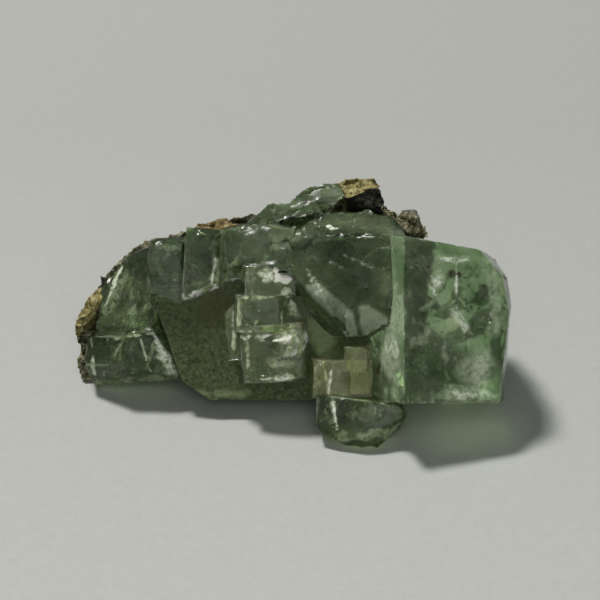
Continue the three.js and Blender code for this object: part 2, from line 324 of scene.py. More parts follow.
def crack_loops(sheet, rim):
    """The corner loops of one side of a crack, from its middle out to its rim."""
    rings = [sheet[1 + r * CRACK_SPOKES :][:CRACK_SPOKES] for r in range(CRACK_RINGS - 1)] + [rim]
    loops = []
    for k in range(CRACK_SPOKES):
        n = (k + 1) % CRACK_SPOKES
        loops.append([sheet[0], rings[0][n], rings[0][k]])
        loops += [[inner[k], inner[n], outer[n], outer[k]] for inner, outer in zip(rings, rings[1:])]
    return loops


def add_crack(work, solid, centre, normal, radius, gap, material, seed):
    """Adds a thin closed crack inside a crystal, all of it below the crystal's surface."""
    flat = crack_points(centre, normal, radius, seed)
    if not is_inside(solid, centre * MM, CRACK_MARGIN * MM):
        return False
    if not all(is_inside(solid, p * MM, CRACK_RIM_MARGIN * MM) for p in flat[-CRACK_SPOKES:]):
        return False
    wave = 0.1 * radius * (fractal(np.array(flat), radius * 0.8, seed, 3) - 0.5)
    ring_of = [0] + [1 + i // CRACK_SPOKES for i in range(len(flat) - 1)]
    rise = [gap * (1 - ring / CRACK_RINGS) for ring in ring_of]
    layers = []
    for sign in (1, -1):
        moved = [p + normal * float(w + sign * h / 2) for p, w, h in zip(flat, wave, rise)]
        layers.append([work.verts.new(p * MM) for p in moved[:-CRACK_SPOKES]])
    edge = list(zip(flat, wave))[-CRACK_SPOKES:]
    rim = [work.verts.new((p + normal * float(w)) * MM) for p, w in edge]
    upper, lower = (crack_loops(sheet, rim) for sheet in layers)
    for loop in upper + [loop[::-1] for loop in lower]:
        face = work.faces.new(loop)
        face.material_index = material
        face.smooth = True
    return True


def add_wisp(work, solid, centre, normal, radius, material, rng):
    """Adds a wisp of many tiny cracks, scattered over a bent sheet inside a crystal."""
    side = normal.orthogonal().normalized()
    across = normal.cross(side)
    count = int(WISP_DENSITY * radius**2)
    spread = rng.normal(0, 0.42, (count, 2)) * radius
    bend = rng.uniform(-0.12, 0.12, 2)
    for u, v in spread:
        off = bend[0] * u * u / radius + bend[1] * v * v / radius + rng.normal(0, 0.04) * radius
        spot = centre + side * u + across * v + normal * off
        size = TINY_CRACK * rng.uniform(0.4, 1.0) ** 2
        if not is_inside(solid, spot * MM, (size + TINY_MARGIN) * MM):
            continue
        tilted = (normal + Vector(rng.normal(0, 0.14, 3))).normalized()
        first = tilted.orthogonal().normalized()
        second = tilted.cross(first)
        stretch = rng.uniform(0.4, 1.0)
        rim = []
        for k in range(TINY_SPOKES):
            angle = 2 * math.pi * k / TINY_SPOKES
            reach = size * rng.uniform(0.75, 1.1)
            place = first * math.cos(angle) * reach + second * math.sin(angle) * reach * stretch
            rim.append(work.verts.new((spot + place) * MM))
        for sign in (1, -1):
            tip = work.verts.new((spot + tilted * sign * TINY_GAP) * MM)
            for k in range(TINY_SPOKES):
                pair = (rim[k], rim[(k + 1) % TINY_SPOKES])
                face = work.faces.new((tip, *(pair if sign < 0 else pair[::-1])))
                face.material_index = material
                face.smooth = True


def box_of(piece):
    """The piece's lowest and highest corner, in millimetres."""
    return (np.array(corner) / MM for corner in (piece.bound_box[0], piece.bound_box[6]))


def random_place(rng, axes, low, high):
    """A random cleavage direction of the crystal, and a random place in its box."""
    normal = Vector(rng.choice([-1, 1], 3) @ axes).normalized()
    return normal, Vector(rng.uniform(low, high))


def add_wisps(piece, solid, axes, wisps, seed):
    """Adds count wisps of a radius in millimetres, along the crystal's cleavage planes."""
    rng = np.random.default_rng(seed + 177)
    work = bmesh.new()
    work.from_mesh(piece.data)
    low, high = box_of(piece)
    for count, radius, material in wisps:
        made = tries = 0
        while made < count and tries < count * TRIES_PER_CRACK:
            tries += 1
            normal, centre = random_place(rng, axes, low, high)
            if is_inside(solid, centre * MM, WISP_MARGIN * MM):
                add_wisp(work, solid, centre, normal, radius * rng.uniform(0.5, 1.3), material, rng)
                made += 1
    work.to_mesh(piece.data)
    work.free()


def add_cracks(piece, solid, axes, cracks, seed):
    """Adds count cleavage cracks of a radius in millimetres, along the crystal's cleavage planes."""
    rng = np.random.default_rng(seed + 77)
    work = bmesh.new()
    work.from_mesh(piece.data)
    low, high = box_of(piece)
    for count, radius, gap, material in cracks:
        made = tries = 0
        while made < count and tries < count * TRIES_PER_CRACK:
            tries += 1
            normal, centre = random_place(rng, axes, low, high)
            size = radius * rng.uniform(0.5, 1.3)
            made += add_crack(work, solid, centre, normal, size, gap, material, seed + tries)
    work.to_mesh(piece.data)
    work.free()


def neighbours_of(node):
    """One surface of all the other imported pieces."""
    work = bmesh.new()
    for other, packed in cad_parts.items():
        if other != node:
            work.from_mesh(packed.data)
    surface = BVHTree.FromBMesh(work)
    work.free()
    return surface


def bareness(points, node):
    """0 where another piece touches this one, rising to 1 half a millimetre away from it."""
    surface = neighbours_of(node)
    found = [surface.find_nearest(Vector(p) * MM, CONTACT_REACH * MM)[3] for p in points]
    gap = np.array([CONTACT_REACH if distance is None else distance / MM for distance in found])
    return np.clip((gap - CONTACT) / (CONTACT_REACH - CONTACT), 0, 1)


def paint(piece, name, values):
    """Stores a value from 0 to 1 for each of the piece's points, for its materials to read."""
    attribute = piece.data.attributes.new(name, "FLOAT", "POINT")
    attribute.data.foreach_set("value", values.astype(np.float32))


def surface_of(mesh):
    """A mesh's surface, to be searched for its nearest points."""
    work = bmesh.new()
    work.from_mesh(mesh)
    surface = BVHTree.FromBMesh(work)
    work.free()
    return surface


def carve_surface(piece, node, carve, edges, axes, edge_wear, seed):
    """Carves the piece inward, chips its edges, and paints its rubbed edges and its marks."""
    low, high = (
        np.array(corner) / MM + side for corner, side in zip(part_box(node), (BOX_MARGIN, -BOX_MARGIN))
    )
    points, normals = vertices_of(piece.data)
    depth = carve(points, axes, seed)
    away = nearest_distances(points, edges) if edges else np.full(len(points), FAR)
    chips = 4 * np.clip(fractal(points, 2.2, seed + 31, 3) - 0.52, 0, 1)
    depth = depth + 0.6 * np.clip(edge_wear * (0.35 + 3.2 * chips) - away, 0, None)
    depth = depth * bareness(points, node)
    moved = np.clip(points - normals * np.clip(depth, 0, None)[:, None], low, high) * MM
    piece.data.vertices.foreach_set("co", moved.astype(np.float32).ravel())
    rubbed = np.exp(-away / (edge_wear * 1.3 + 0.01))
    patches = np.clip(fractal(points, 1.6, seed + 41, 3) * 3.2 - 1.1, 0, 1)
    paint(piece, "wear", rubbed * patches)
    for kind, spots in MARKS.items():
        paint(piece, kind, marks(points, normals, spots.get(node, ()), CRISPNESS[kind], seed))
    paint(piece, "facet", facet_cover(points, normals, FACETS.get(node, ())))
    piece.data.update()


def make_piece(node, cell, carve, materials, edge_wear, cracks, wisps):
    """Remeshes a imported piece, carves its surface inward by carve(points, axes, seed), wears its
    edges, paints its marks and adds its inner cracks and wisps."""
    seed = sum(ord(letter) for letter in node)
    piece = merged(node)
    edges = sharp_edge_points(piece.data)
    axes = crystal_axes(piece.data)
    solid = surface_of(piece.data)
    bpy.context.view_layer.update()
    remesh(piece, cell)
    carve_surface(piece, node, carve, edges, axes, edge_wear, seed)
    for material in materials:
        piece.data.materials.append(material)
    piece.data.polygons.foreach_set("use_smooth", [True] * len(piece.data.polygons))
    if cracks:
        add_cracks(piece, solid, axes, cracks, seed)
    if wisps:
        add_wisps(piece, solid, axes, wisps, seed)
    piece.data.set_sharp_from_angle(angle=SHARP_ANGLE)
    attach(piece, "root")
    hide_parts(node)


# How each kind of surface is carved, as depths in millimetres


def smooth_faces(points, axes, seed):
    """Nearly flat crystal faces with faint growth steps."""
    steps = 0.05 * terraces(points, axes, 2.6, seed) + 0.03 * terraces(points, axes, 1.1, seed + 1)
    return steps + 0.05 * fractal(points, 3.0, seed, 3)


def stepped_faces(points, axes, seed):
    """Crystal faces with clear growth steps."""
    steps = 0.10 * terraces(points, axes, 3.1, seed) + 0.03 * terraces(points, axes, 1.3, seed + 1)
    return steps + 0.06 * fractal(points, 1.6, seed, 3)


def cleaved_faces(points, axes, seed):
    """Broken faces made of small tilted cleavage planes."""
    facets = 0.6 + cleavage(points, 4.6, 0.13, seed) + cleavage(points, 1.9, 0.04, seed + 3)
    return np.clip(facets, 0, 1.8) * 0.5 + 0.10 * fractal(points, 1.2, seed, 3)


def pitted_faces(points, axes, seed):
    """Dull, finely pitted faces."""
    return 0.10 * fractal(points, 0.6, seed, 2) + 0.08 * fractal(points, 4.0, seed, 3)


def granular(points, axes, seed):
    """Coarse grains with hollows between them."""
    hollows = 1.1 * np.clip(fractal(points, 3.0, seed, 3) - 0.35, 0, 1)
    coarse = 0.42 * grain_distance(points, 1.5, seed)
    return hollows + coarse + 0.26 * grain_distance(points, 0.62, seed + 7)


def crumbly(points, axes, seed):
    """Fine crumbling grains with small hollows."""
    hollows = 1.2 * np.clip(fractal(points, 2.0, seed, 3) - 0.35, 0, 1)
    coarse = 0.22 * grain_distance(points, 0.9, seed)
    return hollows + coarse + 0.12 * grain_distance(points, 0.4, seed + 7)


# Materials


class Nodes:
    """A material's node tree, with short calls to add and join nodes."""

    def __init__(self, name):
        self.material = bpy.data.materials.new(name)
        self.material.use_nodes = True
        self.tree = self.material.node_tree
        self.shader = self.tree.nodes["Principled BSDF"]
        self.output = self.tree.nodes["Material Output"]
        place = self.add("ShaderNodeTexCoord")
        grow = self.add("ShaderNodeVectorMath", operation="SCALE")
        grow.inputs["Scale"].default_value = 1 / MM
        self.join(place.outputs["Object"], grow.inputs[0])
        upright = self.add("ShaderNodeMapping")
        upright.inputs["Rotation"].default_value = (LEAN, 0, 0)
        self.join(grow.outputs[0], upright.inputs["Vector"])
        self.position = upright.outputs["Vector"]

    def add(self, kind, **settings):
        """A new node of a kind, with its settings."""
        node = self.tree.nodes.new(kind)
        for key, value in settings.items():
            setattr(node, key, value)
        return node

    def join(self, output, target):
        """A link from an output socket to an input socket."""
        self.tree.links.new(output, target)

    def noise(self, size, detail, distortion, stretch=(1, 1, 1), roughness=0.55):
        """Noise whose lumps are about size millimetres across, as a socket."""
        place = self.add("ShaderNodeMapping")
        place.inputs["Scale"].default_value = stretch
        self.join(self.position, place.inputs["Vector"])
        node = self.add("ShaderNodeTexNoise")
        node.inputs["Scale"].default_value = 1 / size
        node.inputs["Detail"].default_value = detail
        node.inputs["Distortion"].default_value = distortion
        node.inputs["Roughness"].default_value = roughness
        self.join(place.outputs["Vector"], node.inputs["Vector"])
        return node.outputs["Fac"]

    def grains(self, size):
        """Random values for grains about size millimetres across, as a socket."""
        node = self.add("ShaderNodeTexVoronoi")
        node.inputs["Scale"].default_value = 1 / size
        self.join(self.position, node.inputs["Vector"])
        split = self.add("ShaderNodeSeparateColor")
        self.join(node.outputs["Color"], split.inputs[0])
        return split.outputs[0]

    def ramp(self, source, stops):
        """Colours at positions from 0 to 1 along a socket."""
        node = self.add("ShaderNodeValToRGB")
        colours = node.color_ramp.elements
        while len(colours) < len(stops):
            colours.new(0.5)
        for element, (position, colour) in zip(colours, stops):
            element.position = position
            element.color = (*colour, 1)
        self.join(source, node.inputs["Fac"])
        return node.outputs["Color"]

    def range(self, source, low, high, to_low, to_high):
        """A socket's values from low to high, moved to lie from to_low to to_high."""
        node = self.add("ShaderNodeMapRange")
        limits = {"From Min": low, "From Max": high, "To Min": to_low, "To Max": to_high}
        for key, value in limits.items():
            node.inputs[key].default_value = value
        self.join(source, node.inputs["Value"])
        return node.outputs["Result"]

    def mix(self, factor, a, b):
        """Colour a turning into colour b as the factor rises; each is a colour or a socket."""
        node = self.add("ShaderNodeMix", data_type="RGBA")
        self.join(factor, node.inputs["Factor"])
        for socket, value in ((node.inputs["A"], a), (node.inputs["B"], b)):
            if isinstance(value, tuple):
                socket.default_value = (*value, 1)
            else:
                self.join(value, socket)
        return node.outputs["Result"]

    def combine(self, operation, a, b):
        """Two sockets, or a socket and a number, combined and kept within 0 and 1."""
        node = self.add("ShaderNodeMath", operation=operation, use_clamp=True)
        for socket, value in zip(node.inputs, (a, b)):
            if isinstance(value, float):
                socket.default_value = value
            else:
                self.join(value, socket)
        return node.outputs[0]

    def attribute(self, name):
        """A value painted on the piece, as a socket."""
        return self.add("ShaderNodeAttribute", attribute_name=name).outputs["Fac"]

    def bump(self, source, strength, height):
        """Fine relief height millimetres high."""
        node = self.add("ShaderNodeBump")
        node.inputs["Strength"].default_value = strength
        node.inputs["Distance"].default_value = height * MM
        self.join(source, node.inputs["Height"])
        self.join(node.outputs["Normal"], self.shader.inputs["Normal"])

    def glow(self, weight, radius, depth):
        """Light that spreads under the surface, further for the colours with a larger radius."""
        self.set("Subsurface Weight", weight)
        self.set("Subsurface Radius", radius)
        self.set("Subsurface Scale", depth)

    def absorb(self, colour, density):
        """Colour that deepens with the thickness that light passes through."""
        volume = self.add("ShaderNodeVolumeAbsorption")
        volume.inputs["Color"].default_value = (*colour, 1)
        volume.inputs["Density"].default_value = density
        self.join(volume.outputs["Volume"], self.output.inputs["Volume"])

    def set(self, key, value):
        """A constant on the shader, or a socket joined to it."""
        if isinstance(value, bpy.types.NodeSocket):
            self.join(value, self.shader.inputs[key])
        else:
            self.shader.inputs[key].default_value = value


# Colours of the painted marks that all the clear fluorite shares: stains, frost with painted glints,
# painted facet highlights and painted shade
STAIN = (0.05, 0.042, 0.022)
# White of the frost marks: real frosted patches and cracks, and also painted glints and highlights
FROST_AND_GLINT = (0.88, 0.90, 0.82)
# Paler colour of the straight-sided facets: a painted highlight where they catch the light
FACET_HIGHLIGHT = (0.42, 0.50, 0.38)  # the straight-sided facets
# The deep marks are painted shade: darker, greener patches where the crystal looks dark
PAINTED_SHADE_TINT = (0.34, 0.46, 0.33)  # how much darker and greener the deep marks are
ROCK_RELIEF = 0.3  # how high the fine relief on rock is, in millimetres


def fluorite_cover(m, speckle, streak, cloudy):
    """How cloudy the surface is, from its own clouds and streaks, its worn edges and its veil marks,
    which are real veils and also painted glints, rims and reflections.
    """
    cloud = m.range(m.noise(3.2, 14, 0.2, (1, 1, 0.6), 0.78), cloudy, cloudy + 0.16, 0.0, 0.85)
    # Veil marks: real veils, and also painted glints, bright rims and reflections
    painted = m.combine("MULTIPLY", m.attribute("veil_and_painted_light"), m.range(speckle, 0.36, 0.56, 0.1, 1.1))
    worn = m.range(m.attribute("wear"), 0.25, 0.9, 0.0, 0.6)
    cover = m.combine("MAXIMUM", m.combine("MAXIMUM", cloud, streak), worn)
    # The painted shade of the deep marks also clears away the veils under it
    cover = m.combine("SUBTRACT", cover, m.attribute("deep"))
    return m.combine("MAXIMUM", cover, painted)


def fluorite(name, deep, pale, veil_and_painted_light, clear, absorb, density, rough, cloudy, relief=0.1):
    """Clear mottled fluorite. deep, pale and veil are its colours, clear is how much light passes
    where there is no veil, and absorb and density colour the light inside it. Veils lie where a
    noise from 0 to 1 is above cloudy, and relief is how high its fine etching is, in millimetres."""
    m = Nodes(name)
    speckle = m.noise(0.7, 8, 0.2, roughness=0.7)
    streak = m.range(m.noise(1.1, 8, 0.1, (1, 1, 0.2), 0.65), 0.58, 0.78, 0.0, 0.6)
    mottle = m.noise(5.0, 8, 0.2, roughness=0.62)
    colour = m.ramp(mottle, [(0.34, deep), (0.66, pale)])
    # Painted shade: where the deep marks lie, the colour turns darker and greener
    shade = tuple(part * c for part, c in zip(PAINTED_SHADE_TINT, deep))
    shaded = m.combine("MULTIPLY", m.attribute("deep"), m.range(mottle, 0.3, 0.6, 1.0, 0.5))
    colour = m.mix(shaded, colour, shade)
    cover = fluorite_cover(m, speckle, streak, cloudy)
    # Painted highlight: the straight-sided facets turn paler and less clear
    facet_highlight = m.combine("MULTIPLY", m.attribute("facet"), m.range(mottle, 0.3, 0.7, 0.6, 1.0))
    stain = m.combine("MULTIPLY", m.attribute("stain"), m.range(speckle, 0.35, 0.55, 0.3, 1.3))
    # Frost marks: frosted white patches and cracks, and also painted glints, bright rims and highlights
    frost_and_glint = m.combine("MULTIPLY", m.attribute("frost_and_glint"), m.range(speckle, 0.38, 0.54, 0.15, 1.1))
    colour = m.mix(facet_highlight, m.mix(cover, colour, veil_and_painted_light), FACET_HIGHLIGHT)
    m.set("Base Color", m.mix(frost_and_glint, m.mix(stain, colour, STAIN), FROST_AND_GLINT))
    opaque = m.combine("MAXIMUM", m.combine("MAXIMUM", cover, stain), m.combine("MAXIMUM", facet_highlight, frost_and_glint))
    passing = m.range(opaque, 0.0, 1.0, clear, clear * 0.3)
    m.set("Transmission Weight", m.combine("MULTIPLY", passing, m.range(frost_and_glint, 0.0, 1.0, 1.0, 0.2)))
    m.set("Roughness", m.range(m.noise(1.4, 6, 0.5), 0.35, 0.75, rough, rough + 0.22))
    m.set("IOR", FLUORITE_IOR)
    m.glow(1.0, (0.8, 1.0, 0.7), GLOW_DEPTH)
    etching = m.combine("ADD", m.range(speckle, 0, 1, 0, 0.6), m.range(streak, 0, 1, 0, 0.4))
    m.bump(etching, 0.5, relief)
    m.absorb(absorb, density)
    return m.material


def crack_veil(name, colour, clear):
    """The cloudy inside of a crack."""
    m = Nodes(name)
    cloud = m.noise(1.2, 8, 0.3, roughness=0.7)
    m.set("Base Color", m.ramp(cloud, [(0.3, tuple(c * 0.7 for c in colour)), (0.7, colour)]))
    m.set("Transmission Weight", m.range(cloud, 0.35, 0.62, clear, clear * 0.35))
    m.set("Roughness", m.range(cloud, 0.3, 0.7, 0.1, 0.4))
    m.set("IOR", FLUORITE_IOR)
    m.bump(cloud, 0.4, 0.08)
    return m.material


def dull_fluorite():
    """The dull, finely pitted face, olive brown."""
    m = Nodes("dull_fluorite")
    speckle = m.noise(0.5, 8, 0.3, roughness=0.7)
    colour = m.ramp(speckle, [(0.40, (0.032, 0.046, 0.020)), (0.62, (0.15, 0.185, 0.09))])
    glow = m.noise(9.0, 5, 0.4)
    colour = m.mix(m.range(glow, 0.4, 0.7, 0.0, 0.6), colour, (0.085, 0.105, 0.045))
    # Painted glow: the veil marks make parts of the dull face lighter and greener, as where light shows
    # through it
    painted = m.combine("MULTIPLY", m.attribute("veil_and_painted_light"), m.range(speckle, 0.3, 0.6, 0.6, 1.2))
    colour = m.mix(painted, colour, (0.24, 0.30, 0.16))
    stain = m.combine("MULTIPLY", m.attribute("stain"), m.range(speckle, 0.35, 0.6, 0.0, 1.2))
    m.set("Base Color", m.mix(stain, colour, (0.095, 0.088, 0.034)))
    m.set("Roughness", m.range(speckle, 0.3, 0.7, 0.38, 0.62))
    m.set("IOR", FLUORITE_IOR)
    m.glow(0.5, (0.8, 1.0, 0.6), GLOW_DEPTH / 2)
    m.bump(speckle, 0.6, 0.08)
    return m.material


def rock(name, stops, grain):
    """Granular rock: each grain has one of the stops' colours, with finer grains over it."""
    m = Nodes(name)
    coarse = m.grains(grain)
    fine = m.grains(grain * 0.45)
    dirt = m.noise(grain * 3.5, 8, 0.5, roughness=0.7)
    both = m.combine("ADD", m.range(coarse, 0, 1, 0, 0.3), m.range(fine, 0, 1, 0, 0.3))
    both = m.combine("ADD", both, m.range(dirt, 0.3, 0.7, 0, 0.4))
    m.set("Base Color", m.ramp(both, stops))
    m.set("Roughness", m.range(dirt, 0.3, 0.7, 0.65, 0.95))
    m.bump(both, 0.8, ROCK_RELIEF)
    return m.material


SEA_GREEN = fluorite(
    "sea_green_fluorite",
    deep=(0.32, 0.47, 0.25), pale=(0.82, 0.91, 0.70), veil_and_painted_light=(0.50, 0.58, 0.42), clear=0.90,
    absorb=(0.50, 0.69, 0.40), density=42, rough=0.05, cloudy=0.57, relief=0.06,
)
DEEP_GREEN = fluorite(
    "deep_green_fluorite",
    deep=(0.43, 0.57, 0.31), pale=(0.80, 0.90, 0.62), veil_and_painted_light=(0.40, 0.48, 0.29), clear=0.96,
    absorb=(0.47, 0.64, 0.31), density=66, rough=0.11, cloudy=0.57,
)
MASSIVE_GREEN = fluorite(
    "massive_green_fluorite",
    deep=(0.16, 0.24, 0.11), pale=(0.42, 0.52, 0.31), veil_and_painted_light=(0.25, 0.33, 0.18), clear=0.82,
    absorb=(0.50, 0.67, 0.36), density=60, rough=0.22, cloudy=0.53, relief=0.12,
)
PALE_GREEN = fluorite(
    "pale_green_fluorite",
    deep=(0.54, 0.66, 0.36), pale=(0.88, 0.95, 0.70), veil_and_painted_light=(0.80, 0.88, 0.62), clear=0.92,
    absorb=(0.54, 0.68, 0.34), density=55, rough=0.05, cloudy=0.55,
)
HONEY_GREEN = fluorite(
    "honey_green_fluorite",
    deep=(0.60, 0.66, 0.32), pale=(0.88, 0.90, 0.60), veil_and_painted_light=(0.70, 0.74, 0.46), clear=0.88,
    absorb=(0.68, 0.74, 0.36), density=45, rough=0.06, cloudy=0.54,
)
VEIL = crack_veil("crack_veil", colour=(0.72, 0.78, 0.66), clear=0.7)
CLEAR_CHIP = fluorite(
    "clear_chip",
    deep=(0.75, 0.78, 0.72), pale=(0.88, 0.9, 0.86), veil_and_painted_light=(0.85, 0.86, 0.82), clear=0.9,
    absorb=(0.8, 0.85, 0.8), density=30, rough=0.08, cloudy=0.58,
)
DULL_GREEN = dull_fluorite()
OLIVE_ROCK = rock(
    "olive_rock",
    stops=[
        (0.2, (0.02, 0.018, 0.01)),
        (0.42, (0.10, 0.095, 0.05)),
        (0.62, (0.22, 0.21, 0.13)),
        (0.85, (0.46, 0.45, 0.34)),
    ],
    grain=0.7,
)
DARK_ROCK = rock(
    "dark_rock",
    stops=[(0.25, (0.006, 0.006, 0.004)), (0.6, (0.028, 0.028, 0.018)), (0.9, (0.12, 0.12, 0.085))],
    grain=0.5,
)
TAN_ROCK = rock(
    "tan_rock",
    stops=[(0.2, (0.06, 0.05, 0.018)), (0.5, (0.26, 0.22, 0.085)), (0.85, (0.52, 0.48, 0.26))],
    grain=0.6,
)
RUST_ROCK = rock(
    "rust_rock",
    stops=[(0.2, (0.05, 0.035, 0.012)), (0.5, (0.17, 0.12, 0.045)), (0.85, (0.36, 0.31, 0.17))],
    grain=0.5,
)

# Straight-sided facets of the crystal side, painted pale and less clear as highlights where they catch
# the light,
# by piece: their corners, clockwise, in millimetres right and up
FACETS = {
    "massive_fluorite": [
        [(0.6, 2.2), (2.6, 2.6), (7.6, -1.8), (8.6, -6.0), (6.8, -4.8), (0.4, 1.2)],
        [(8.1, -0.7), (9.8, -0.8), (13.2, -3.0), (9.3, -6.0), (8.5, -4.0)],
    ],
}

# How abruptly each kind of mark ends
CRISPNESS = {"veil_and_painted_light": 1.9, "frost_and_glint": 2.3, "deep": 1.0, "stain": 2.2}

